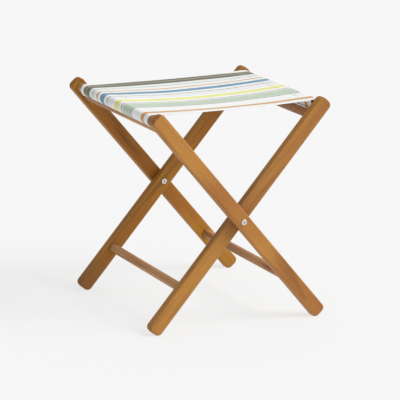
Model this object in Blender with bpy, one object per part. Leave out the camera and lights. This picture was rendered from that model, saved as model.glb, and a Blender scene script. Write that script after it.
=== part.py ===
"""Folding stool: two crossing wooden frames joined by a bolt on each side, with a cloth seat
slung between their top rails.

Metres, +Z up, +Y from the front pair of legs to the back pair.  Each frame is built upright in
its own coordinates, with its origin on the pivot line, and is then leaned over as a whole.
"""

import math

import bmesh
import bpy
from mathutils import Matrix

# Legs
DEPTH = 0.388                # over the outer faces of the outer legs
LEG_WIDTH = 0.031
LEG_THICKNESS = 0.0185
LEG_UP = 0.2993              # pivot to the top end, along the leg
LEG_DOWN = 0.282             # pivot to the foot end, along the leg
LEG_LEAN = math.radians(40.9)    # each frame's lean from upright when the seat is taut
EDGE_ROUND = 0.003           # eased long edges
END_CORNER = 0.007           # rounded corners of the sawn ends
END_CROWN = 0.003            # how far the sawn ends bulge
FOOT_TRIM = 0.0051           # height sawn off the low corner of each foot so that it stands flat

# Pivot hardware
PIVOT_GAP = 0.0022           # between an outer and an inner leg
HEAD_RADIUS = 0.006
HEAD_THICKNESS = 0.0016
HEAD_BEVEL = 0.0004
BARREL_RADIUS = 0.0042       # sleeve of the cap nut
BARREL_REACH = 0.0033        # how far the sleeve reaches into the outer leg
BOLT_RADIUS = 0.003
BOLT_SHORTFALL = 0.0072      # the bolt ends this far before the inner leg's inner face
BOLT_TIP = 0.0008            # chamfer on the end of the bolt
HEX_FLATS = 0.004
HEX_DEPTH = 0.0028
WASHER_RADIUS = 0.009

# Round rails
TOP_RAIL_FROM_TOP = 0.0167   # leg's top end to the centre of the rail that carries the cloth
TOP_RAIL_RADIUS = 0.0095
UNDER_RAIL_DROP = 0.025      # centre of the top rail to the centre of the rail under it
STRETCHER_FROM_FOOT = 0.1055     # leg's foot end to the centre of the lower stretcher
DOWEL_RADIUS = 0.0092        # under rail and stretcher
TENON_RADIUS = 0.006
TENON_LENGTH = 0.011
DOWEL_CHAMFER = 0.0006

# Cloth
CLOTH_SIDE_GAP = 0.00325     # each hemmed edge to the inner leg beside it
CLOTH_THICKNESS = 0.0011
SEAT_SAG_MIDDLE = 0.008      # of the cloth half-way between the rails, along the middle
SEAT_SAG_EDGE = 0.003        # the same along the two hemmed edges
SEAT_START = 0.004           # the seat leaves the sleeve this far in from the rail's centre

# Fits
CLEARANCE = 0.0003
MORTISE_SPARE = 0.0006       # a mortise is this much deeper than its tenon is long

# Facets
ROUND_SEGMENTS = 32
SMALL_SEGMENTS = 24
CORNER_SEGMENTS = 5
CROWN_SEGMENTS = 4
EDGE_SEGMENTS = 3
SEAT_STEPS_ALONG = 16
SEAT_STEPS_ACROSS = 8

WOOD = {"colour": (0.43, 0.23, 0.085, 1.0), "roughness": 0.5, "metallic": 0.0}
CLOTH = {"colour": (0.72, 0.76, 0.72, 1.0), "roughness": 0.9, "metallic": 0.0}
STEEL = {"colour": (0.62, 0.62, 0.62, 1.0), "roughness": 0.3, "metallic": 1.0}

# Sizes that follow from the ones above
RAIL_UP = LEG_UP - TOP_RAIL_FROM_TOP
UNDER_RAIL_UP = RAIL_UP - UNDER_RAIL_DROP
STRETCHER_DOWN = LEG_DOWN - STRETCHER_FROM_FOOT
BARREL_LENGTH = LEG_THICKNESS + PIVOT_GAP + BARREL_REACH
BOLT_LENGTH = 2 * LEG_THICKNESS + PIVOT_GAP - BOLT_SHORTFALL
PIVOT_HEIGHT = (
    LEG_DOWN * math.cos(LEG_LEAN) + LEG_WIDTH / 2 * math.sin(LEG_LEAN) - FOOT_TRIM
)
OUTER_LEG_Y = DEPTH / 2 - LEG_THICKNESS / 2
INNER_LEG_Y = OUTER_LEG_Y - LEG_THICKNESS - PIVOT_GAP
CLOTH_WIDTH = 2 * (INNER_LEG_Y - LEG_THICKNESS / 2 - CLOTH_SIDE_GAP)
SLEEVE_INNER_RADIUS = TOP_RAIL_RADIUS + CLEARANCE
SLEEVE_OUTER_RADIUS = SLEEVE_INNER_RADIUS + CLOTH_THICKNESS
HOLE_RADIUS = BARREL_RADIUS + CLEARANCE
RAIL_X = RAIL_UP * math.sin(LEG_LEAN)
RAIL_Z = PIVOT_HEIGHT + RAIL_UP * math.cos(LEG_LEAN)


def clear_scene():
    for thing in list(bpy.data.objects):
        bpy.data.objects.remove(thing, do_unlink=True)


def make_material(name, look):
    material = bpy.data.materials.new(name)
    material.use_nodes = True
    shader = material.node_tree.nodes["Principled BSDF"]
    shader.inputs["Base Color"].default_value = look["colour"]
    shader.inputs["Roughness"].default_value = look["roughness"]
    shader.inputs["Metallic"].default_value = look["metallic"]
    return material


def add_object(name, shell, look=None):
    """Turns a bmesh into an object, as a wire cutter if it has no look."""
    bmesh.ops.recalc_face_normals(shell, faces=shell.faces)
    mesh = bpy.data.meshes.new(name)
    shell.to_mesh(mesh)
    shell.free()
    thing = bpy.data.objects.new(name, mesh)
    bpy.context.scene.collection.objects.link(thing)
    if look is None:
        thing.hide_render = True
        thing.display_type = "WIRE"
    else:
        mesh.materials.append(make_material(name, look))
    return thing


def make_frame_empty(name, lean):
    empty = bpy.data.objects.new(name, None)
    empty.location = (0.0, 0.0, PIVOT_HEIGHT)
    empty.rotation_euler = (0.0, lean, 0.0)
    bpy.context.scene.collection.objects.link(empty)
    return empty


def skin(shell, rings, closed):
    """Joins rings of vertices with quads; a closed list of rings joins its last to its first."""
    pairs = list(zip(rings, rings[1:]))
    if closed:
        pairs.append((rings[-1], rings[0]))
    for ring, following in pairs:
        count = len(ring)
        for i in range(count):
            j = (i + 1) % count
            shell.faces.new((ring[i], ring[j], following[j], following[i]))


def lathe(shell, profile, segments, centre=(0.0, 0.0), hollow=False):
    """Turns (y, radius) points about a line along Y through centre, which is (x, z).

    A solid profile is closed by a flat face at each end, and a hollow one is a loop.
    """
    rings = []
    for y, radius in profile:
        ring = []
        for step in range(segments):
            angle = math.tau * (step + 0.5) / segments
            x = centre[0] + radius * math.cos(angle)
            z = centre[1] + radius * math.sin(angle)
            ring.append(shell.verts.new((x, y, z)))
        rings.append(ring)
    skin(shell, rings, hollow)
    if not hollow:
        shell.faces.new(rings[0])
        shell.faces.new(rings[-1])


def end_outline():
    """One sawn end of a leg, from its right side to its left, with the end's tip at z = 0."""
    half = LEG_WIDTH / 2
    flat = half - END_CORNER
    crown_radius = (half * half + END_CROWN * END_CROWN) / (2 * END_CROWN)
    points = []
    for step in range(CORNER_SEGMENTS + 1):
        turn = math.pi / 2 * step / CORNER_SEGMENTS
        x = flat + END_CORNER * math.cos(turn)
        points.append((x, -END_CORNER + END_CORNER * math.sin(turn)))
    for step in range(1, CROWN_SEGMENTS):
        points.append((flat - 2 * flat * step / CROWN_SEGMENTS, 0.0))
    for step in range(CORNER_SEGMENTS + 1):
        turn = math.pi / 2 + math.pi / 2 * step / CORNER_SEGMENTS
        x = -flat + END_CORNER * math.cos(turn)
        points.append((x, -END_CORNER + END_CORNER * math.sin(turn)))
    crowned = []
    for x, z in points:
        drop = crown_radius - math.sqrt(crown_radius * crown_radius - x * x)
        crowned.append((x, z - drop))
    return crowned


def leg_outline():
    top = [(x, LEG_UP + z) for x, z in end_outline()]
    foot = [(-x, -LEG_DOWN - z) for x, z in end_outline()]
    return top + foot


def add_ground(shell, low_side):
    """A block under the floor, in the leg's own leaning coordinates, to saw the foot level."""
    tilt = Matrix.Rotation(-low_side * LEG_LEAN, 4, "Y")
    at_floor = Matrix.Translation((0.0, 0.0, -PIVOT_HEIGHT / math.cos(LEG_LEAN)))
    below = Matrix.Translation((0.0, 0.0, -LEG_WIDTH / 2))
    size = Matrix.Diagonal((4 * LEG_WIDTH, 2 * LEG_THICKNESS, LEG_WIDTH, 1.0))
    bmesh.ops.create_cube(shell, size=1.0, matrix=at_floor @ tilt @ below @ size)


def make_leg(name, frame, y, low_side):
    """One leg.  Its mortises open towards the middle of the stool.

    low_side is the sign of x at the low corner of its foot.
    """
    shell = bmesh.new()
    half = LEG_THICKNESS / 2
    outline = leg_outline()
    rings = [[shell.verts.new((x, side, z)) for x, z in outline] for side in (-half, half)]
    skin(shell, rings, False)
    for ring in rings:
        shell.faces.new(ring)
    leg = add_object(name, shell, WOOD)
    leg.parent = frame
    leg.location = (0.0, y, 0.0)

    rounding = leg.modifiers.new("eased edges", "BEVEL")
    rounding.width = EDGE_ROUND
    rounding.segments = EDGE_SEGMENTS
    rounding.limit_method = "ANGLE"
    rounding.angle_limit = math.radians(60)
    rounding.use_clamp_overlap = False

    inward = -1 if y > 0 else 1
    mouth = inward * (half + CLEARANCE)
    floor = inward * (half - TENON_LENGTH - MORTISE_SPARE)
    low, high = sorted((mouth, floor))
    cut = bmesh.new()
    ends = half + CLEARANCE
    lathe(cut, [(-ends, HOLE_RADIUS), (ends, HOLE_RADIUS)], SMALL_SEGMENTS)
    mortise = TENON_RADIUS + CLEARANCE
    for z in (RAIL_UP, UNDER_RAIL_UP, -STRETCHER_DOWN):
        lathe(cut, [(low, mortise), (high, mortise)], SMALL_SEGMENTS, (0.0, z))
    add_ground(cut, low_side)
    cutter = add_object(name + "_cutter", cut)
    cutter.parent = frame
    cutter.location = leg.location

    holes = leg.modifiers.new("pivot hole, mortises and sawn foot", "BOOLEAN")
    holes.operation = "DIFFERENCE"
    holes.solver = "EXACT"
    holes.object = cutter
    return leg


def dowel_profile(radius, half_span):
    """A round rail with a turned tenon on each end, for legs whose inner faces are half_span away."""
    shoulder = half_span - CLEARANCE
    tip = half_span + TENON_LENGTH
    right = [
        (shoulder - DOWEL_CHAMFER, radius),
        (shoulder, radius - DOWEL_CHAMFER),
        (shoulder, TENON_RADIUS),
        (tip - DOWEL_CHAMFER, TENON_RADIUS),
        (tip, TENON_RADIUS - DOWEL_CHAMFER),
    ]
    left = [(-y, r) for y, r in reversed(right)]
    return left + right


def make_dowel(name, frame, radius, half_span, z):
    shell = bmesh.new()
    lathe(shell, dowel_profile(radius, half_span), ROUND_SEGMENTS)
    dowel = add_object(name, shell, WOOD)
    dowel.parent = frame
    dowel.location = (0.0, 0.0, z)
    return dowel


def make_sleeve(name, frame):
    """The sewn end of the cloth, closed around a top rail."""
    shell = bmesh.new()
    half = CLOTH_WIDTH / 2
    loop = [
        (-half, SLEEVE_INNER_RADIUS),
        (-half, SLEEVE_OUTER_RADIUS),
        (half, SLEEVE_OUTER_RADIUS),
        (half, SLEEVE_INNER_RADIUS),
    ]
    lathe(shell, loop, ROUND_SEGMENTS, hollow=True)
    sleeve = add_object(name, shell, CLOTH)
    sleeve.parent = frame
    sleeve.location = (0.0, 0.0, RAIL_UP)
    return sleeve


def seat_stations():
    """Places along X where the seat is measured, closer together over the sleeves."""
    start = RAIL_X - SEAT_START
    lift = RAIL_X - math.sqrt(
        SLEEVE_OUTER_RADIUS ** 2 - (SLEEVE_OUTER_RADIUS - CLOTH_THICKNESS - CLEARANCE) ** 2
    )
    inner = lift - CLEARANCE
    stations = [-start, -(start + inner) / 2]
    for step in range(SEAT_STEPS_ALONG + 1):
        stations.append(-inner + 2 * inner * step / SEAT_STEPS_ALONG)
    stations += [(start + inner) / 2, start]
    return stations, inner


def make_seat():
    """The cloth between the two sleeves, a thin sheet that sags a little."""
    shell = bmesh.new()
    stations, inner = seat_stations()
    top = RAIL_Z + SLEEVE_OUTER_RADIUS
    clear_of_sleeve = SLEEVE_OUTER_RADIUS + CLEARANCE
    upper, lower = [], []
    for row in range(SEAT_STEPS_ACROSS + 1):
        share = 2 * row / SEAT_STEPS_ACROSS - 1
        y = share * CLOTH_WIDTH / 2
        sag = SEAT_SAG_MIDDLE + (SEAT_SAG_EDGE - SEAT_SAG_MIDDLE) * share * share
        upper_row, lower_row = [], []
        for x in stations:
            reach = min(1.0, abs(x) / inner)
            z = top - sag * (1 - reach * reach)
            from_rail = RAIL_X - abs(x)
            under = z - CLOTH_THICKNESS
            if from_rail < clear_of_sleeve:
                over = RAIL_Z + math.sqrt(clear_of_sleeve ** 2 - from_rail ** 2)
                under = max(under, over)
            upper_row.append(shell.verts.new((x, y, z)))
            lower_row.append(shell.verts.new((x, y, under)))
        upper.append(upper_row)
        lower.append(lower_row)
    last = len(stations) - 1
    for row in range(SEAT_STEPS_ACROSS):
        for i in range(last):
            for layer in (upper, lower):
                here, following = layer[row], layer[row + 1]
                shell.faces.new((here[i], here[i + 1], following[i + 1], following[i]))
        for i in (0, last):
            ends = (upper[row][i], upper[row + 1][i], lower[row + 1][i], lower[row][i])
            shell.faces.new(ends)
    for row in (0, SEAT_STEPS_ACROSS):
        for i in range(last):
            side = (upper[row][i], upper[row][i + 1], lower[row][i + 1], lower[row][i])
            shell.faces.new(side)
    return add_object("seat_panel", shell, CLOTH)


def cut_socket(thing, face_y, inward):
    """A hexagon socket in a head whose outer face is at face_y."""
    corner = HEX_FLATS / 2 / math.cos(math.pi / 6)
    cut = bmesh.new()
    lathe(cut, [(face_y - inward * CLEARANCE, corner), (face_y + inward * HEX_DEPTH, corner)], 6)
    cutter = add_object(thing.name + "_cutter", cut)
    cutter.parent = thing.parent
    cutter.location = thing.location
    socket = thing.modifiers.new("hexagon socket", "BOOLEAN")
    socket.operation = "DIFFERENCE"
    socket.solver = "EXACT"
    socket.object = cutter


def make_bolt(name, frame, side):
    """Bolt through both legs from outside.  side is the sign of Y at this pair of legs."""
    face = OUTER_LEG_Y + LEG_THICKNESS / 2 + CLEARANCE
    head = face + HEAD_THICKNESS
    end = face - BOLT_LENGTH
    profile = [
        (head, HEAD_RADIUS - HEAD_BEVEL),
        (head - HEAD_BEVEL, HEAD_RADIUS),
        (face, HEAD_RADIUS),
        (face, BOLT_RADIUS),
        (end + BOLT_TIP, BOLT_RADIUS),
        (end, BOLT_RADIUS - BOLT_TIP),
    ]
    shell = bmesh.new()
    lathe(shell, [(side * y, r) for y, r in profile], SMALL_SEGMENTS)
    bolt = add_object(name, shell, STEEL)
    bolt.parent = frame
    cut_socket(bolt, side * head, -side)
    return bolt


def make_nut(name, frame, side):
    """Cap nut whose barrel comes through the inner leg from the middle of the stool."""
    face = INNER_LEG_Y - LEG_THICKNESS / 2 - CLEARANCE
    head = face - HEAD_THICKNESS
    mouth = face + BARREL_LENGTH
    bore = BOLT_RADIUS + CLEARANCE
    bore_end = OUTER_LEG_Y + LEG_THICKNESS / 2 - BOLT_LENGTH - CLEARANCE
    profile = [
        (head, HEAD_RADIUS - HEAD_BEVEL),
        (head + HEAD_BEVEL, HEAD_RADIUS),
        (face, HEAD_RADIUS),
        (face, BARREL_RADIUS),
        (mouth, BARREL_RADIUS),
        (mouth, bore),
        (bore_end, bore),
    ]
    shell = bmesh.new()
    lathe(shell, [(side * y, r) for y, r in profile], SMALL_SEGMENTS)
    nut = add_object(name, shell, STEEL)
    nut.parent = frame
    cut_socket(nut, side * head, side)
    return nut


def make_washer(name, frame, side):
    half = PIVOT_GAP / 2 - CLEARANCE
    loop = [
        (-half, HOLE_RADIUS),
        (-half, WASHER_RADIUS),
        (half, WASHER_RADIUS),
        (half, HOLE_RADIUS),
    ]
    shell = bmesh.new()
    lathe(shell, loop, SMALL_SEGMENTS, hollow=True)
    washer = add_object(name, shell, STEEL)
    washer.parent = frame
    washer.location = (0.0, side * (OUTER_LEG_Y - LEG_THICKNESS / 2 - PIVOT_GAP / 2), 0.0)
    return washer


def make_wooden_frame(kind, lean, leg_y):
    """Two legs, the top rail with its sleeve, the rail under it and the lower stretcher."""
    frame = make_frame_empty(kind + "_frame", lean)
    low_side = 1 if lean > 0 else -1
    half_span = leg_y - LEG_THICKNESS / 2
    make_leg(kind + "_leg_front", frame, -leg_y, low_side)
    make_leg(kind + "_leg_back", frame, leg_y, low_side)
    make_dowel(kind + "_top_rail", frame, TOP_RAIL_RADIUS, half_span, RAIL_UP)
    make_dowel(kind + "_under_rail", frame, DOWEL_RADIUS, half_span, UNDER_RAIL_UP)
    make_dowel(kind + "_stretcher", frame, DOWEL_RADIUS, half_span, -STRETCHER_DOWN)
    make_sleeve(kind + "_sleeve", frame)
    return frame


clear_scene()
outer = make_wooden_frame("outer", -LEG_LEAN, OUTER_LEG_Y)
inner = make_wooden_frame("inner", LEG_LEAN, INNER_LEG_Y)
for end_name, end_side in (("front", -1), ("back", 1)):
    make_bolt("pivot_bolt_" + end_name, outer, end_side)
    make_nut("pivot_nut_" + end_name, outer, end_side)
    make_washer("pivot_washer_" + end_name, outer, end_side)
make_seat()
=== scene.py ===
"""Folding stool in oiled hardwood with a striped canvas seat.

The two crossing wooden frames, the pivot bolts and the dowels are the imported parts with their
finishes.  The canvas, its hems and its stitching are made here over the same rails.
"""

import math

import bmesh
import bpy
from mathutils import Matrix, Vector, noise


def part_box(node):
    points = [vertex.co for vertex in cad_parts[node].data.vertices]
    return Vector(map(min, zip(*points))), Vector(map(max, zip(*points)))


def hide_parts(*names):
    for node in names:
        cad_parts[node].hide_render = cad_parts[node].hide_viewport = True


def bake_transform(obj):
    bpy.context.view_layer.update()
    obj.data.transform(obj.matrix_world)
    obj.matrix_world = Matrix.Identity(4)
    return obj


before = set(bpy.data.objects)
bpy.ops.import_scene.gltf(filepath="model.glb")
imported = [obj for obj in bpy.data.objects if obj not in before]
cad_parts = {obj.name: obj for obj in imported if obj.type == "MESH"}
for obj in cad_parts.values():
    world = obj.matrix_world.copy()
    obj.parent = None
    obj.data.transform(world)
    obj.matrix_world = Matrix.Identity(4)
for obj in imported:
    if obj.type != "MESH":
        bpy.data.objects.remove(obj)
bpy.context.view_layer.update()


# ---- Camera and studio -------------------------------------------------------------------
# A long lens looks slightly down on the stool from its front left, a little out of level.
# The floor is a seamless pale sweep under a large soft light from the front right.  Every
# finish is a tree of nodes, whose numbers are added and multiplied as Terms.

CAMERA_AZIMUTH = math.radians(-28.116)
CAMERA_ELEVATION = math.radians(15.127)
CAMERA_ROLL = math.radians(1.238)
CAMERA_DISTANCE = 4.479
CAMERA_AIM = Vector((0.00422, 0.0, 0.21499))
SENSOR_WIDTH = 36.0
FOCAL_LENGTH = 196.65

FLOOR_SIZE = 80.0
FLOOR_COLOUR = (0.9, 0.9, 0.9, 1.0)
FLOOR_GLOW = 0.905               # the sweep is lit from below as well, so shadows on it are faint
FLOOR_GLOW_SHARE = 0.76
SKY_COLOUR = (1.0, 1.0, 1.0, 1.0)
SKY_LEFT = 0.4
SKY_RIGHT = 0.95
KEY_STRENGTH = 1.97
KEY_SPREAD = math.radians(32)
KEY_FROM = Vector((0.95, -0.75, 1.15))


def aim_camera():
    back = Vector((
        math.sin(CAMERA_AZIMUTH) * math.cos(CAMERA_ELEVATION),
        -math.cos(CAMERA_AZIMUTH) * math.cos(CAMERA_ELEVATION),
        math.sin(CAMERA_ELEVATION),
    ))
    level = (-back).cross(Vector((0, 0, 1))).normalized()
    upright = back.cross(level)
    right = math.cos(CAMERA_ROLL) * level + math.sin(CAMERA_ROLL) * upright
    up = math.cos(CAMERA_ROLL) * upright - math.sin(CAMERA_ROLL) * level
    turn = Matrix((right, up, back)).transposed().to_4x4()
    lens = bpy.data.cameras.new("camera")
    lens.sensor_width = SENSOR_WIDTH
    lens.lens = FOCAL_LENGTH
    camera = bpy.data.objects.new("camera", lens)
    camera.matrix_world = Matrix.Translation(CAMERA_AIM + back * CAMERA_DISTANCE) @ turn
    bpy.context.scene.collection.objects.link(camera)
    bpy.context.scene.camera = camera


class Term:
    """One number in a finish; sums on it are written into the finish's node tree."""

    def __init__(self, finish, socket):
        self.finish = finish
        self.socket = socket

    def sum(self, operation, *others):
        sockets = {0: self}
        for place, other in enumerate(others, start=1):
            sockets[place] = other
        return self.finish.node("ShaderNodeMath", {"operation": operation}, sockets)

    def turned(self, operation, other):
        """A sum in which this number comes second."""
        return self.finish.node("ShaderNodeMath", {"operation": operation}, {0: other, 1: self})

    def __add__(self, other):
        return self.sum("ADD", other)

    def __sub__(self, other):
        return self.sum("SUBTRACT", other)

    def __mul__(self, other):
        return self.sum("MULTIPLY", other)

    def __truediv__(self, other):
        return self.sum("DIVIDE", other)

    def __radd__(self, other):
        return self.turned("ADD", other)

    def __rsub__(self, other):
        return self.turned("SUBTRACT", other)

    def __abs__(self):
        return self.sum("ABSOLUTE")

    def step(self, low, high):
        """0 below low, 1 above high, and smooth between."""
        settings = {"interpolation_type": "SMOOTHSTEP"}
        sockets = {"Value": self, "From Min": low, "From Max": high}
        return self.finish.node("ShaderNodeMapRange", settings, sockets)


class Finish:
    """A material, or the sky, being mixed."""

    def __init__(self, owner):
        self.owner = owner
        owner.use_nodes = True
        self.tree = owner.node_tree
        self.tree.nodes.clear()

    def node(self, kind, settings, sockets, out=0):
        """Adds a node: its settings, then its sockets' values or links; gives the output out."""
        made = self.tree.nodes.new(kind)
        for name, value in settings.items():
            setattr(made, name, value)
        for key, value in sockets.items():
            if isinstance(value, Term):
                self.tree.links.new(value.socket, made.inputs[key])
            else:
                made.inputs[key].default_value = value
        return Term(self, made.outputs[out]) if len(made.outputs) else None

    def part(self, vector, axis):
        """The X, Y or Z of a vector."""
        return self.node("ShaderNodeSeparateXYZ", {}, {"Vector": vector}, axis)

    def blend(self, share, low, high):
        """A colour between low and high."""
        colour = {"data_type": "RGBA", "clamp_factor": True}
        return self.node("ShaderNodeMix", colour, {0: share, 6: low, 7: high}, 2)

    def shade(self, colour, amount):
        """A colour darkened or lightened by a grey amount."""
        grey = self.node("ShaderNodeCombineColor", {}, {0: amount, 1: amount, 2: amount})
        return self.tint(colour, grey)

    def tint(self, colour, other):
        """A colour multiplied by another one."""
        times = {"data_type": "RGBA", "blend_type": "MULTIPLY"}
        return self.node("ShaderNodeMix", times, {0: 1.0, 6: colour, 7: other}, 2)

    def cloudy(self, place, scale, detail=2.0, rough=0.5, distortion=0.0):
        """Soft noise from 0 to 1, with scale clouds to the metre."""
        sockets = {"Vector": place, "Scale": scale, "Detail": detail}
        sockets |= {"Roughness": rough, "Distortion": distortion}
        return self.node("ShaderNodeTexNoise", {}, sockets)

    def bump(self, height, strength, distance):
        sockets = {"Height": height, "Strength": strength, "Distance": distance}
        return self.node("ShaderNodeBump", {}, sockets)

    def surface(self, sockets):
        shader = self.node("ShaderNodeBsdfPrincipled", {}, sockets)
        self.node("ShaderNodeOutputMaterial", {}, {"Surface": shader})
        return self.owner


def lay_floor():
    half = FLOOR_SIZE / 2
    corners = [(-half, -half, 0), (half, -half, 0), (half, half, 0), (-half, half, 0)]
    mesh = bpy.data.meshes.new("floor")
    mesh.from_pydata(corners, [], [(0, 1, 2, 3)])
    floor = bpy.data.objects.new("floor", mesh)
    bpy.context.scene.collection.objects.link(floor)
    paint = Finish(bpy.data.materials.new("pale_floor"))
    matt = paint.node("ShaderNodeBsdfDiffuse", {}, {"Color": FLOOR_COLOUR})
    glow = paint.node("ShaderNodeEmission", {}, {"Strength": FLOOR_GLOW})
    both = paint.node("ShaderNodeMixShader", {}, {0: FLOOR_GLOW_SHARE, 1: matt, 2: glow})
    paint.node("ShaderNodeOutputMaterial", {}, {"Surface": both})
    mesh.materials.append(paint.owner)


def light_studio():
    sky = Finish(bpy.data.worlds.new("studio"))
    toward = sky.node("ShaderNodeTexCoord", {}, {}, "Generated")
    across = {"Value": sky.part(toward, "X"), "From Min": -1.0}
    across |= {"To Min": SKY_LEFT, "To Max": SKY_RIGHT}
    strength = sky.node("ShaderNodeMapRange", {}, across)
    light = sky.node("ShaderNodeBackground", {}, {"Color": SKY_COLOUR, "Strength": strength})
    sky.node("ShaderNodeOutputWorld", {}, {"Surface": light})
    bpy.context.scene.world = sky.owner
    sun = bpy.data.lights.new("key", "SUN")
    sun.energy = KEY_STRENGTH
    sun.angle = KEY_SPREAD
    key = bpy.data.objects.new("key", sun)
    key.rotation_euler = KEY_FROM.to_track_quat("Z", "Y").to_euler()
    bpy.context.scene.collection.objects.link(key)
    bpy.context.scene.view_settings.view_transform = "Standard"


aim_camera()
lay_floor()
light_studio()


# ---- Oiled hardwood ----------------------------------------------------------------------
# All the wood is one golden hardwood, planed, eased along its edges and oiled.  The grain
# runs along each piece; the sawn ends have drunk more oil and are darker.

LEG_LEAN = math.radians(40.9)
GOLDEN = (0.445, 0.2, 0.04, 1.0)
RUSSET = (0.36, 0.14, 0.032, 1.0)
DARK_STREAK = (0.17, 0.068, 0.016, 1.0)
END_BROWN = (0.17, 0.07, 0.022, 1.0)
DOWEL_GOLD = (0.46, 0.235, 0.1, 1.0)
DOWEL_RUSSET = (0.37, 0.17, 0.075, 1.0)
# Colour of the paler eased leg edges: partly wear, partly a painted highlight.
EDGE_WEAR_AND_HIGHLIGHT = (0.55, 0.31, 0.12, 1.0)
WOOD_SHINE = 0.26
DARKER_FOOT_HEIGHT = 0.07               # about where the darkening towards a foot ends
DARKER_FOOT_WANDER = 0.05
GRAIN_DEPTH = 0.0004
BACK_LEG_TINT = (1.05, 0.98, 0.5, 1.0)    # the back legs are tinted yellower
LEG_WIDTH = 0.031
LEG_THICKNESS = 0.0185
EDGE_ROUND = 0.003
PIVOT_HEIGHT = 0.2182
OUTER_LEG_Y = 0.18475
INNER_LEG_Y = 0.16405


def oiled_wood(name, tilt, tone, place, leg_y=None, foot_darkening=0.0):
    """Wood whose grain runs along the Z axis turned by tilt, a rotation in radians.

    Pieces differ by their tone and by their place in the grain.  A leg, whose middle is at
    leg_y, is paler along its eased edges, partly from wear and partly as a painted highlight,
    and is darker towards its foot by the share given as the last argument.
    """
    wood = Finish(bpy.data.materials.new(name))
    where = wood.node("ShaderNodeTexCoord", {}, {}, "Object")
    local = {"Vector": where, "Rotation": tilt, "Location": place}
    along = wood.node("ShaderNodeMapping", {"vector_type": "TEXTURE"}, local)

    def stretched(across, length):
        """Places scaled by across over the grain and by length along it."""
        scaled = {"Vector": along, "Scale": (across, across, length)}
        return wood.node("ShaderNodeMapping", {}, scaled)

    clouds = wood.cloudy(stretched(12.0, 5.0), 1.0, 2.0, 0.5, 0.3)
    growth = wood.cloudy(stretched(48.0, 3.4), 1.0, 4.0, 0.55, 0.9)
    streaks = wood.cloudy(stretched(150.0, 4.5), 1.0, 3.0, 0.6, 0.4)
    fibres = wood.cloudy(stretched(1500.0, 38.0), 1.0, 2.0, 0.6)
    pores = wood.cloudy(stretched(2400.0, 130.0), 1.0, 1.0, 0.5)

    pale, ruddy = (DOWEL_GOLD, DOWEL_RUSSET) if leg_y is None else (GOLDEN, RUSSET)
    body = wood.blend(clouds.step(0.38, 0.66), pale, ruddy)
    dark = growth.step(0.48, 0.7) * 0.6 + streaks.step(0.54, 0.76) * 0.34
    grained = wood.blend(dark, body, DARK_STREAK)
    pitted = pores.step(0.6, 0.72)
    lightness = 0.9 + fibres * 0.24 - pitted * 0.14
    grained = wood.shade(grained, lightness * tone)
    if leg_y is not None and leg_y > 0:
        grained = wood.tint(grained, BACK_LEG_TINT)

    facing = wood.node("ShaderNodeTexCoord", {}, {}, "Normal")
    level = {"Vector": facing, "Rotation": tilt}
    turned = wood.node("ShaderNodeMapping", {"vector_type": "TEXTURE"}, level)
    end_share = abs(wood.part(turned, "Z")).step(0.3, 1.0)
    speckle = wood.cloudy(stretched(1100.0, 300.0), 1.0, 2.0, 0.6)
    ends = wood.shade(wood.blend(growth.step(0.3, 0.75), RUSSET, END_BROWN), 0.75 + speckle * 0.4)
    colour = wood.blend(end_share * 0.85, grained, ends)

    paler_share = 0.0
    if leg_y is not None:
        middle = {"Vector": where, "Rotation": tilt, "Location": (0.0, leg_y, PIVOT_HEIGHT)}
        inside = wood.node("ShaderNodeMapping", {"vector_type": "TEXTURE"}, middle)
        over_width = abs(wood.part(inside, "X"))
        over_thickness = abs(wood.part(inside, "Y"))
        corner = (over_width + over_thickness - (LEG_WIDTH + LEG_THICKNESS) / 2) / EDGE_ROUND
        # Paler eased edges: partly rubbed wear, partly a painted highlight where the rounded edges
        # catch the light.
        paler_share = corner.step(-0.95, -0.6) * clouds.step(0.3, 0.6) * (1 - end_share)
        colour = wood.blend(paler_share * 0.4, colour, EDGE_WEAR_AND_HIGHLIGHT)
        # Darker towards the foot of a leg, by the share given.
        height = wood.part(where, "Z") + clouds * DARKER_FOOT_WANDER
        toward_foot = 1 - height.step(DARKER_FOOT_HEIGHT * 0.4, DARKER_FOOT_HEIGHT * 1.6)
        colour = wood.blend(toward_foot * foot_darkening, colour, END_BROWN)

    relief = fibres * 0.5 - pitted * 0.8 + growth * 0.4 + speckle * end_share
    normal = wood.bump(relief, 0.35, GRAIN_DEPTH)
    gloss = 0.45 + fibres * 0.12 + pitted * 0.12 + end_share * 0.15 - dark * 0.05 + paler_share * 0.1
    sockets = {"Base Color": colour, "Roughness": gloss, "Normal": normal}
    sockets["Specular IOR Level"] = WOOD_SHINE
    return wood.surface(sockets)


OUTER_TILT = (0.0, -LEG_LEAN, 0.0)
INNER_TILT = (0.0, LEG_LEAN, 0.0)
CROSS_TILT = (math.pi / 2, 0.0, 0.0)

# Each piece's grain direction, tone and place in the grain, then for a leg its middle and how much
# darker it is towards its foot.
WOODS = {
    "outer_leg_front": (OUTER_TILT, 1.06, (0.31, 0.0, 0.2), -OUTER_LEG_Y),
    "outer_leg_back": (OUTER_TILT, 0.88, (0.77, 0.0, 0.9), OUTER_LEG_Y),
    "outer_top_rail": (CROSS_TILT, 0.8, (0.1, 0.0, 0.1)),
    "outer_under_rail": (CROSS_TILT, 1.1, (0.5, 0.0, 0.3)),
    "outer_stretcher": (CROSS_TILT, 1.15, (0.9, 0.0, 0.7)),
    "inner_leg_front": (INNER_TILT, 0.95, (0.21, 0.0, 1.3), -INNER_LEG_Y),
    "inner_leg_back": (INNER_TILT, 0.8, (0.57, 0.0, 1.9), INNER_LEG_Y, 0.7),
    "inner_top_rail": (CROSS_TILT, 0.8, (1.1, 0.0, 1.1)),
    "inner_under_rail": (CROSS_TILT, 0.95, (1.5, 0.0, 1.3)),
    "inner_stretcher": (CROSS_TILT, 1.15, (1.9, 0.0, 1.7)),
}


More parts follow.
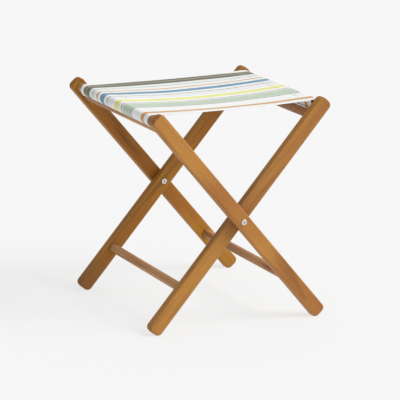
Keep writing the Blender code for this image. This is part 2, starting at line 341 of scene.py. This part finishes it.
def dress(node_name, material):
    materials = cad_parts[node_name].data.materials
    materials.clear()
    materials.append(material)


for node_name, look in WOODS.items():
    dress(node_name, oiled_wood(f"wood_{node_name}", *look))


# ---- Pivot bolts -------------------------------------------------------------------------
# Stainless furniture bolts with a flat head and a hexagon socket, screwed into cap nuts, with
# a washer between the legs.  The turned heads show fine rings around the axis.

STEEL_COLOUR = (0.72, 0.71, 0.7, 1.0)
RINGS_PER_METRE = 9000.0
RING_DEPTH = 0.00005


def turned_steel(name):
    steel = Finish(bpy.data.materials.new(name))
    where = steel.node("ShaderNodeTexCoord", {}, {}, "Object")
    low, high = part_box("pivot_bolt_front")
    centre = tuple((low + high) / 2)

    def vector(operation, first, second):
        return steel.node("ShaderNodeVectorMath", {"operation": operation}, {0: first, 1: second})

    flat = vector("MULTIPLY", vector("SUBTRACT", where, centre), (1.0, 0.0, 1.0))
    radius = steel.node("ShaderNodeVectorMath", {"operation": "LENGTH"}, {0: flat}, "Value")
    ring = steel.node("ShaderNodeCombineXYZ", {}, {"X": radius * RINGS_PER_METRE})
    rings = steel.cloudy(ring, 1.0, 2.0)
    smudges = steel.cloudy(where, 420.0, 3.0)
    colour = steel.shade(STEEL_COLOUR, 0.86 + rings * 0.1 + smudges * 0.12)
    gloss = 0.24 + smudges * 0.16
    normal = steel.bump(rings, 0.12, RING_DEPTH)
    return steel.surface({"Base Color": colour, "Metallic": 1.0, "Roughness": gloss, "Normal": normal})


stainless = turned_steel("turned_stainless")
for side in ("front", "back"):
    for kind in ("bolt", "nut", "washer"):
        dress(f"pivot_{kind}_{side}", stainless)


# ---- Canvas seat -------------------------------------------------------------------------
# One panel of striped woven canvas.  Both side edges are turned under and sewn.  Each end
# wraps around its rail and comes back under the seat, where its turned edge is sewn down in
# two rows, so that the rail runs through a sleeve.

CLOTH = 0.0009                  # one thickness of canvas
SLEEVE_RADIUS = 0.01045         # middle of the canvas where it is tight over the rail
LOOP_SLACK = 0.0034             # the loop hangs this much looser on its inboard underside
SLACK_MIDDLE = math.radians(-60)
SLACK_REACH = math.radians(80)
LOOP_WANDER = 0.3
HEM_STITCH = 0.0095             # stitch row, in from the canvas's edge
HEM_END = (0.0122, 0.0127)      # its turned edge steps down between these, in from the edge
HEM_FOLD = (0.0124, 0.0129)     # places across the canvas that show that step
HEM_RISE = 0.00065              # the hem lies this much prouder where it wraps a rail
HEM_OVER_SEAT = 0.0001          # and this much over the seat, because it is turned under there
HEM_UNDER_SEAT = 0.0007
HEM_INSIDE = 0.00015            # how far it presses in towards a rail
OVER_RAIL = (0.012, 0.024)      # from the first to the second it changes, in from the rail
SEAM_ROWS = (0.0178, 0.0242)    # sleeve seam rows, in from the rail's centre
FLAP_END = 0.0272
FLAP_TURNED = 0.00081           # extra thickness of the flap, whose edge is turned under
FLAP_PRESSED = 0.00005
FLAP_EDGE = (0.0, 0.8, 1.0)     # share of its thickness at the first places from its end
FLAP, SLEEVE, SEAT = range(3)   # the layers that the canvas passes through
LAYER_GAP = 0.0002
SEAM_MARGIN = 0.0018            # flap and seat lie together from this far outside the first row
SAG_FRONT = 0.0032              # half-way between the rails, along the front hem
SAG_MIDDLE = 0.0076
SAG_BACK = 0.0004
STITCH_DIP = 0.00022
STITCH_DIP_WIDTH = 0.0016
ROW_SHARES = (1.0, 0.5, 0.0, -0.5, -1.0)
FLAP_STEPS = 9
WRAP_STEPS = 26
CREST_STEPS = 6                 # from the top of the rail to the seam
SEAT_STEP = 0.0045
BROAD_RIPPLE = 0.00064
FINE_RIPPLE = 0.00014
RIPPLE_FREE = (0.03, 0.07)      # the ripples grow between these distances in from a rail

rail_low, rail_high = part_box("outer_top_rail")
rail_centre = (rail_low + rail_high) / 2
RAIL_X = -rail_centre.x
RAIL_Z = rail_centre.z
HALF_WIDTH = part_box("seat_panel")[1].y


def sag_at(y):
    """The back hem is pulled tighter than the front one, and both tighter than the middle."""
    share = y / HALF_WIDTH
    slope = (SAG_BACK - SAG_FRONT) / 2
    bend = (SAG_BACK + SAG_FRONT) / 2 - SAG_MIDDLE
    return SAG_MIDDLE + slope * share + bend * share * share


def loop_point(angle, y):
    """Middle of the canvas around the rail, angle up from inboard; the underside hangs loose."""
    off = min(1.0, abs(angle - SLACK_MIDDLE) / SLACK_REACH)
    slack = LOOP_SLACK * (1 + LOOP_WANDER * noise.noise(Vector((y * 12, 0.7, 2.3))))
    radius = SLEEVE_RADIUS + slack * math.cos(off * math.pi / 2) ** 2
    return radius * math.cos(angle), radius * math.sin(angle)


def heading(start, end):
    """Direction from start to end, 0 straight outboard and growing downwards."""
    return math.atan2(start[1] - end[1], start[0] - end[0])


def half_path(y):
    """Middle of the canvas from the flap's end, around the rail and half-way over the seat.

    Rows of (inboard distance from the rail's centre, height above it, layer).
    """
    sag = sag_at(y)
    leave = 0.0
    for _ in range(6):          # settles the angle at which the seat leaves the rail
        reach = RAIL_X - SLEEVE_RADIUS * math.sin(leave)
        leave = math.atan(2 * sag / reach)
    crest = SLEEVE_RADIUS * math.cos(leave)

    def seat_height(inboard):
        along = (RAIL_X - inboard) / reach
        return crest - sag * (1 - along * along)

    under = CLOTH * 1.5 + LAYER_GAP
    joined = SEAM_ROWS[0] - SEAM_MARGIN
    rows = [(inboard, seat_height(inboard) - under, FLAP)
            for inboard in seam_stations(FLAP_END, joined)]
    join = (joined, seat_height(joined) - under)
    finish_angle = math.pi / 2 - leave - 2 * math.pi
    tried = [math.radians(-half_degrees / 2) for half_degrees in range(-40, 200)]
    start = max(tried, key=lambda angle: heading(join, loop_point(angle, y)))
    touch = loop_point(start, y)
    for step in range(1, FLAP_STEPS):
        share = step / FLAP_STEPS
        rows.append((
            join[0] + (touch[0] - join[0]) * share,
            join[1] + (touch[1] - join[1]) * share,
            SLEEVE,
        ))
    for step in range(WRAP_STEPS + 1):
        angle = start + (finish_angle - start) * step / WRAP_STEPS
        rows.append((*loop_point(angle, y), SLEEVE))
    first = SLEEVE_RADIUS * math.sin(leave)
    for inboard in seat_stations(first):
        rows.append((inboard, seat_height(inboard), SEAT))
    return rows


def seam_stations(start, stop):
    """Places between start and stop, closer together at each seam row."""
    places = {start, stop}
    for row in SEAM_ROWS:
        for share in ROW_SHARES:
            place = row + STITCH_DIP_WIDTH * share
            if min(start, stop) < place < max(start, stop):
                places.add(place)
    return sorted(places, reverse=start > stop)


def seat_stations(first):
    """Places over the seat, from where it leaves the rail to half-way."""
    before = SEAM_ROWS[0] - 1.5 * SEAM_MARGIN
    places = [first + (before - first) * step / CREST_STEPS for step in range(1, CREST_STEPS + 1)]
    places += seam_stations(SEAM_ROWS[0] - SEAM_MARGIN, SEAM_ROWS[1] + SEAM_MARGIN)
    last = places[-1]
    count = int((RAIL_X - last) / SEAT_STEP)
    places += [last + (RAIL_X - last) * step / count for step in range(1, count + 1)]
    return places


def width_stations():
    """Places across the canvas: (y, share of the thickness left there)."""
    side = [(HALF_WIDTH, 0.0)]
    for degrees in (60, 30, 0):
        angle = math.radians(degrees)
        side.append((HALF_WIDTH - CLOTH * (1 - math.sin(angle)), math.cos(angle)))
    side += [(HALF_WIDTH - HEM_STITCH + STITCH_DIP_WIDTH * share, 1.0) for share in ROW_SHARES]
    side += [(HALF_WIDTH - place, 1.0) for place in HEM_FOLD]
    inner = side[-1][0]
    count = round(2 * inner / SEAT_STEP)
    middle = [(inner - 2 * inner * step / count, 1.0) for step in range(1, count)]
    return side + middle + [(-y, share) for y, share in reversed(side)]


def dip(distance):
    """How far the thread pulls the canvas in, at a distance from the stitch row."""
    reach = abs(distance) / STITCH_DIP_WIDTH
    if reach >= 1:
        return 0.0
    return STITCH_DIP * 0.5 * (1 + math.cos(math.pi * reach))


def ease(low, high, value):
    """0 below low, 1 above high, and smooth between."""
    share = min(1.0, max(0.0, (value - low) / (high - low)))
    return share * share * (3 - 2 * share)


def canvas_rows():
    """For every place across the canvas, its middle line from one flap's end to the other's.

    Columns of (y, share of the thickness, points, layers, normals, lengths along the canvas).
    """
    columns = []
    for y, left in width_stations():
        half = half_path(y)
        points = [Vector((-RAIL_X + inboard, y, RAIL_Z + up)) for inboard, up, _ in half]
        layers = [layer for _, _, layer in half]
        mirror = [Vector((-p.x, p.y, p.z)) for p in reversed(points[:-1])]
        points += mirror
        layers += list(reversed(layers[:-1]))
        last = len(points) - 1
        normals = []
        lengths = [0.0]
        for i in range(last + 1):
            before = points[max(0, i - 1)]
            after = points[min(last, i + 1)]
            way = (after - before).normalized()
            normals.append(Vector((0, -1, 0)).cross(way).normalized())
            if i:
                lengths.append(lengths[-1] + (points[i] - points[i - 1]).length)
        columns.append((y, left, points, layers, normals, lengths))
    return columns


def ripple(point):
    """Height of the slight waves that stretching leaves in the canvas."""
    wave = noise.noise(Vector((point.x * 11, point.y * 19, 3.1)))
    fine = noise.noise(Vector((point.x * 45, point.y * 60, 8.7)))
    return wave * BROAD_RIPPLE + fine * FINE_RIPPLE


def cloth_faces(column):
    """Outer and inner surface of one column of the canvas."""
    y, left, points, layers, normals, _ = column
    from_edge = HALF_WIDTH - abs(y)
    hemmed = 1 - ease(*HEM_END, from_edge)
    outer, inner = [], []
    count = len(points)
    for i, (point, layer, normal) in enumerate(zip(points, layers, normals)):
        inboard = RAIL_X - abs(point.x)
        over_rail = 1 - ease(*OVER_RAIL, inboard)
        over_seat = 1 - over_rail
        out = CLOTH / 2 + hemmed * (HEM_RISE * over_rail + HEM_OVER_SEAT * over_seat)
        back = CLOTH / 2 + hemmed * (HEM_INSIDE * over_rail + HEM_UNDER_SEAT * over_seat)
        pull = dip(from_edge - HEM_STITCH)
        end = 1.0
        if layer == FLAP:
            out = CLOTH / 2 + FLAP_TURNED
            back = CLOTH / 2 - FLAP_PRESSED
            end = FLAP_EDGE[min(i, count - 1 - i, 2)]
        elif layer == SEAT:
            pull = max(pull, dip(inboard - SEAM_ROWS[0]), dip(inboard - SEAM_ROWS[1]))
        middle = (out - pull - back) / 2
        half = (out - pull + back) / 2
        share = left * end
        shift = Vector((0, 0, 0))
        if layer == SEAT:
            shift.z = ripple(point) * ease(*RIPPLE_FREE, inboard)
        outer.append(point + normal * (middle + half * share) + shift)
        inner.append(point + normal * (middle - half * share) + shift)
    return outer, inner


def sew_canvas():
    """The canvas as one mesh, with its columns and their outer and inner surfaces."""
    columns = canvas_rows()
    shell = bmesh.new()
    uv = shell.loops.layers.uv.new("cloth")
    outer, inner, measure, surfaces = [], [], {}, []
    for column in columns:
        above, below = cloth_faces(column)
        surfaces.append((above, below))
        row_out = [shell.verts.new(point) for point in above]
        row_in = [shell.verts.new(point) for point in below]
        for k, length in enumerate(column[5]):
            measure[row_out[k]] = (length, column[0])
            measure[row_in[k]] = (length, column[0])
        outer.append(row_out)
        inner.append(row_in)
    for j in range(len(columns) - 1):
        for i in range(len(outer[0]) - 1):
            shell.faces.new((outer[j][i], outer[j + 1][i], outer[j + 1][i + 1], outer[j][i + 1]))
            shell.faces.new((inner[j][i], inner[j][i + 1], inner[j + 1][i + 1], inner[j + 1][i]))
    for face in shell.faces:
        face.smooth = True
        for loop in face.loops:
            loop[uv].uv = measure[loop.vert]
    bmesh.ops.remove_doubles(shell, verts=shell.verts, dist=0.000002)
    bmesh.ops.recalc_face_normals(shell, faces=shell.faces)
    mesh = bpy.data.meshes.new("canvas_seat")
    shell.to_mesh(mesh)
    shell.free()
    canvas = bpy.data.objects.new("canvas_seat", mesh)
    bpy.context.scene.collection.objects.link(canvas)
    return canvas, columns, surfaces


WHITE = (0.87, 0.875, 0.865, 1.0)
SLATE = (0.105, 0.1, 0.068, 1.0)
KHAKI = (0.34, 0.3, 0.15, 1.0)
PALE_GREEN = (0.76, 0.8, 0.75, 1.0)
TAN = (0.6, 0.31, 0.11, 1.0)
BLUE = (0.13, 0.29, 0.42, 1.0)
PALE_GREY = (0.8, 0.8, 0.805, 1.0)
LIME = (0.8, 0.79, 0.2, 1.0)
SAGE = (0.5, 0.6, 0.47, 1.0)
INK = (0.02, 0.025, 0.025, 1.0)
ORANGE = (0.62, 0.3, 0.065, 1.0)

# Stripes from the back hem to the front hem: width in millimetres and colour.
STRIPES = (
    (12.0, WHITE), (8.3, SLATE), (1.6, KHAKI), (0.7, SLATE), (4.1, KHAKI), (13.3, SLATE),
    (2.0, WHITE), (11.5, PALE_GREEN), (1.1, INK), (11.5, PALE_GREEN), (6.8, WHITE),
    (5.5, TAN), (12.5, WHITE), (17.0, BLUE), (13.8, WHITE), (1.6, INK), (0.9, WHITE),
    (21.5, PALE_GREY), (11.0, WHITE), (16.0, LIME), (13.8, WHITE), (2.3, INK), (4.3, WHITE),
    (37.0, SAGE), (1.5, WHITE), (2.3, INK), (40.3, WHITE), (13.0, ORANGE), (15.5, WHITE),
)
STRIPE_WANDER = 0.0004           # how far a stripe's edge strays between threads
WEAVE_PITCH = 0.00075            # two threads
WEAVE_DEPTH = 0.00025
SLUB_SCALES = (30.0, 1300.0)     # slubs are long along their thread and fine across it


def striped(cloth, share):
    """The stripes' colour at a share of the way from the back hem to the front one."""
    total = sum(width for width, _ in STRIPES)
    ramp = cloth.tree.nodes.new("ShaderNodeValToRGB")
    ramp.color_ramp.interpolation = "CONSTANT"
    stops = ramp.color_ramp.elements
    begun = 0.0
    for i, (width, colour) in enumerate(STRIPES):
        stop = stops[i] if i < 2 else stops.new(begun)
        stop.position = begun
        stop.color = colour
        begun += width / total
    cloth.tree.links.new(share.socket, ramp.inputs["Fac"])
    return Term(cloth, ramp.outputs["Color"])


def canvas_finish():
    """Plain weave dyed in stripes along it: the white weft shows between the coloured warps."""
    cloth = Finish(bpy.data.materials.new("striped_canvas"))
    place = cloth.node("ShaderNodeUVMap", {"uv_map": "cloth"}, {})
    along = cloth.part(place, "X")
    across = cloth.part(place, "Y")
    wander = (cloth.cloudy(place, 900.0, 1.0) - 0.5) * STRIPE_WANDER
    stripes = striped(cloth, (HALF_WIDTH - across + wander) / (2 * HALF_WIDTH))

    turns = 2 * math.pi / WEAVE_PITCH
    over = (along * turns).sum("SINE") * (across * turns).sum("SINE")

    def slubs(along_scale, across_scale):
        scaled = {"Vector": place, "Scale": (along_scale, across_scale, 1.0)}
        return cloth.cloudy(cloth.node("ShaderNodeMapping", {}, scaled), 1.0, 2.0)

    slub = slubs(*SLUB_SCALES)
    slub_cross = slubs(*reversed(SLUB_SCALES))
    soft = cloth.cloudy(place, 14.0, 3.0)
    woven = cloth.blend(over.step(0.1, 0.9) * 0.22, stripes, WHITE)
    lightness = 0.84 + slub * 0.15 + slub_cross * 0.1 + soft * 0.07 + over * 0.05
    relief = over * 0.5 + slub * 0.5 + slub_cross * 0.4
    return cloth.surface({
        "Base Color": cloth.shade(woven, lightness),
        "Roughness": 0.88 + slub * 0.1,
        "Normal": cloth.bump(relief, 0.5, WEAVE_DEPTH),
        "Sheen Weight": 0.2,
        "Specular IOR Level": 0.3,
    })


canvas, canvas_columns, canvas_surfaces = sew_canvas()
canvas.data.materials.append(canvas_finish())
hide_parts("seat_panel", "outer_sleeve", "inner_sleeve")
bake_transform(canvas)


# ---- Stitching ---------------------------------------------------------------------------
# Lockstitched in thick off-white polyester thread: one row along each hem and two rows across
# each end, where the flap that closes the sleeve is sewn up to the seat.  Both faces show it.

STITCH_PITCH = 0.0031
STITCH_LENGTH = 0.0026
SHORTEST_STITCH = 0.88          # shares of that size, picked at random
LONGEST_STITCH = 1.06
THREAD = 0.00042
THREAD_RISE = 0.00042           # height of a stitch's arch
THREAD_SINK = 0.00022           # depth at which its ends enter the canvas
THREAD_SIDES = 6
THREAD_STEPS = 5
THREAD_TWIST = 0.0007           # length of one turn of its plies
THREAD_DEPTH = 0.00008
SAME_PLACE = 0.00001
THREAD_COLOUR = (0.8, 0.79, 0.74, 1.0)
THREAD_SHADOW = (0.55, 0.53, 0.48, 1.0)


def thread_finish():
    thread = Finish(bpy.data.materials.new("sewing_thread"))
    where = thread.node("ShaderNodeTexCoord", {}, {}, "Object")
    fluff = thread.cloudy(where, 2600.0, 3.0, 0.6)
    paler_share = thread.cloudy(where, 60.0, 2.0)
    slanted = thread.part(where, "X") + thread.part(where, "Y")
    twist = (slanted * (2 * math.pi / THREAD_TWIST)).sum("SINE")
    colour = thread.blend(fluff.step(0.35, 0.65) * 0.4 + twist * 0.15, THREAD_COLOUR, THREAD_SHADOW)
    colour = thread.shade(colour, 0.9 + paler_share * 0.16)
    normal = thread.bump(twist * 0.5 + fluff, 0.4, THREAD_DEPTH)
    return thread.surface({"Base Color": colour, "Roughness": 0.62 + fluff * 0.2, "Normal": normal})


def stitch_lines():
    """Rows of (point, outward direction) on the faces of the canvas, one list to a seam."""
    lines = []
    middle = canvas_columns[len(canvas_columns) // 2]
    layers = middle[3]
    inboards = [RAIL_X - abs(point.x) for point in middle[2]]
    hem_y = HALF_WIDTH - HEM_STITCH
    for column, (outer, inner) in zip(canvas_columns, canvas_surfaces):
        if abs(abs(column[0]) - hem_y) > SAME_PLACE:
            continue
        normals = column[4]
        shown = range(2, len(layers) - 2)
        lines.append([(outer[i], normals[i]) for i in shown])
        free = [i for i in shown if layers[i] == SEAT and inboards[i] > FLAP_END]
        lines.append([(inner[i], -normals[i]) for i in free])
    for i, (layer, inboard) in enumerate(zip(layers, inboards)):
        if layer == SLEEVE or min(abs(inboard - row) for row in SEAM_ROWS) > SAME_PLACE:
            continue
        line = []
        for column, (outer, _) in zip(canvas_columns, canvas_surfaces):
            if abs(column[0]) < HALF_WIDTH - 2 * CLOTH:
                line.append((outer[i], column[4][i]))
        lines.append(line)
    return lines


def stitch_tree(finish):
    """Lays a small arched stitch at even steps along every edge line it is given."""
    tree = bpy.data.node_groups.new("stitch_rows", "GeometryNodeTree")
    tree.interface.new_socket("Geometry", in_out="INPUT", socket_type="NodeSocketGeometry")
    for name in ("Pitch", "Length", "Thread", "Rise", "Sink"):
        tree.interface.new_socket(name, in_out="INPUT", socket_type="NodeSocketFloat")
    tree.interface.new_socket("Geometry", in_out="OUTPUT", socket_type="NodeSocketGeometry")

    def node(kind, settings, sockets):
        made = tree.nodes.new(kind)
        for name, value in settings.items():
            setattr(made, name, value)
        for key, value in sockets.items():
            if isinstance(value, bpy.types.NodeSocket):
                tree.links.new(value, made.inputs[key])
            else:
                made.inputs[key].default_value = value
        return made.outputs

    def times(value, factor):
        return node("ShaderNodeMath", {"operation": "MULTIPLY"}, {0: value, 1: factor})[0]

    given = node("NodeGroupInput", {}, {})
    half = times(given["Length"], 0.5)
    dive = times(given["Sink"], -1.0)
    start = node("ShaderNodeCombineXYZ", {}, {"X": times(half, -1.0), "Z": dive})[0]
    end = node("ShaderNodeCombineXYZ", {}, {"X": half, "Z": dive})[0]
    over = node("ShaderNodeCombineXYZ", {}, {"Z": times(given["Rise"], 2.0)})[0]
    bend = {"Resolution": THREAD_STEPS, "Start": start, "Middle": over, "End": end}
    arch = node("GeometryNodeCurveQuadraticBezier", {}, bend)[0]
    ring = {"Resolution": THREAD_SIDES, "Radius": times(given["Thread"], 0.5)}
    round_thread = node("GeometryNodeCurvePrimitiveCircle", {"mode": "RADIUS"}, ring)["Curve"]
    sewn = {"Curve": arch, "Profile Curve": round_thread, "Fill Caps": True}
    stitch = node("GeometryNodeCurveToMesh", {}, sewn)[0]

    lines = node("GeometryNodeMeshToCurve", {}, {"Mesh": given["Geometry"]})[0]
    spaced = {"Curve": lines, "Length": given["Pitch"]}
    even = node("GeometryNodeResampleCurve", {"mode": "LENGTH"}, spaced)[0]
    stored = {"data_type": "FLOAT_VECTOR"}
    out = node("GeometryNodeInputNamedAttribute", stored, {"Name": "out"})["Attribute"]
    upright = node("FunctionNodeAlignRotationToVector", {"axis": "Z"}, {"Vector": out})[0]
    tangent = node("GeometryNodeInputTangent", {}, {})[0]
    pointed = {"Rotation": upright, "Vector": tangent}
    turned = node("FunctionNodeAlignRotationToVector", {"axis": "X", "pivot_axis": "Z"}, pointed)[0]
    uneven = {2: SHORTEST_STITCH, 3: LONGEST_STITCH, "Seed": 4}
    size = node("FunctionNodeRandomValue", {"data_type": "FLOAT"}, uneven)[1]
    laid = {"Points": even, "Instance": stitch, "Rotation": turned, "Scale": size}
    rows = node("GeometryNodeInstanceOnPoints", {}, laid)[0]
    real = node("GeometryNodeRealizeInstances", {}, {"Geometry": rows})[0]
    dyed = node("GeometryNodeSetMaterial", {}, {"Geometry": real, "Material": finish})[0]
    node("NodeGroupOutput", {}, {"Geometry": dyed})
    return tree


def sew_rows():
    points, edges, outward = [], [], []
    for line in stitch_lines():
        first = len(points)
        points += [point for point, _ in line]
        outward += [tuple(direction) for _, direction in line]
        edges += [(i, i + 1) for i in range(first, len(points) - 1)]
    mesh = bpy.data.meshes.new("stitch_lines")
    mesh.from_pydata(points, edges, [])
    out = mesh.attributes.new("out", "FLOAT_VECTOR", "POINT")
    for value, direction in zip(out.data, outward):
        value.vector = direction
    holder = bpy.data.objects.new("stitch_lines", mesh)
    bpy.context.scene.collection.objects.link(holder)
    tree = stitch_tree(thread_finish())
    sewing = holder.modifiers.new("stitches", "NODES")
    sewing.node_group = tree
    sizes = {
        "Pitch": STITCH_PITCH,
        "Length": STITCH_LENGTH,
        "Thread": THREAD,
        "Rise": THREAD_RISE,
        "Sink": THREAD_SINK,
    }
    for item in tree.interface.items_tree:
        if item.in_out == "INPUT" and item.name in sizes:
            sewing[item.identifier] = sizes[item.name]
    evaluated = holder.evaluated_get(bpy.context.evaluated_depsgraph_get())
    plain = bpy.data.meshes.new_from_object(evaluated)
    plain.name = "canvas_stitches"
    holder.modifiers.remove(sewing)
    bpy.data.objects.remove(holder)
    stitches = bpy.data.objects.new("canvas_stitches", plain)
    bpy.context.scene.collection.objects.link(stitches)
    for face in plain.polygons:
        face.use_smooth = True
    return stitches


stitches = sew_rows()
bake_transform(stitches)
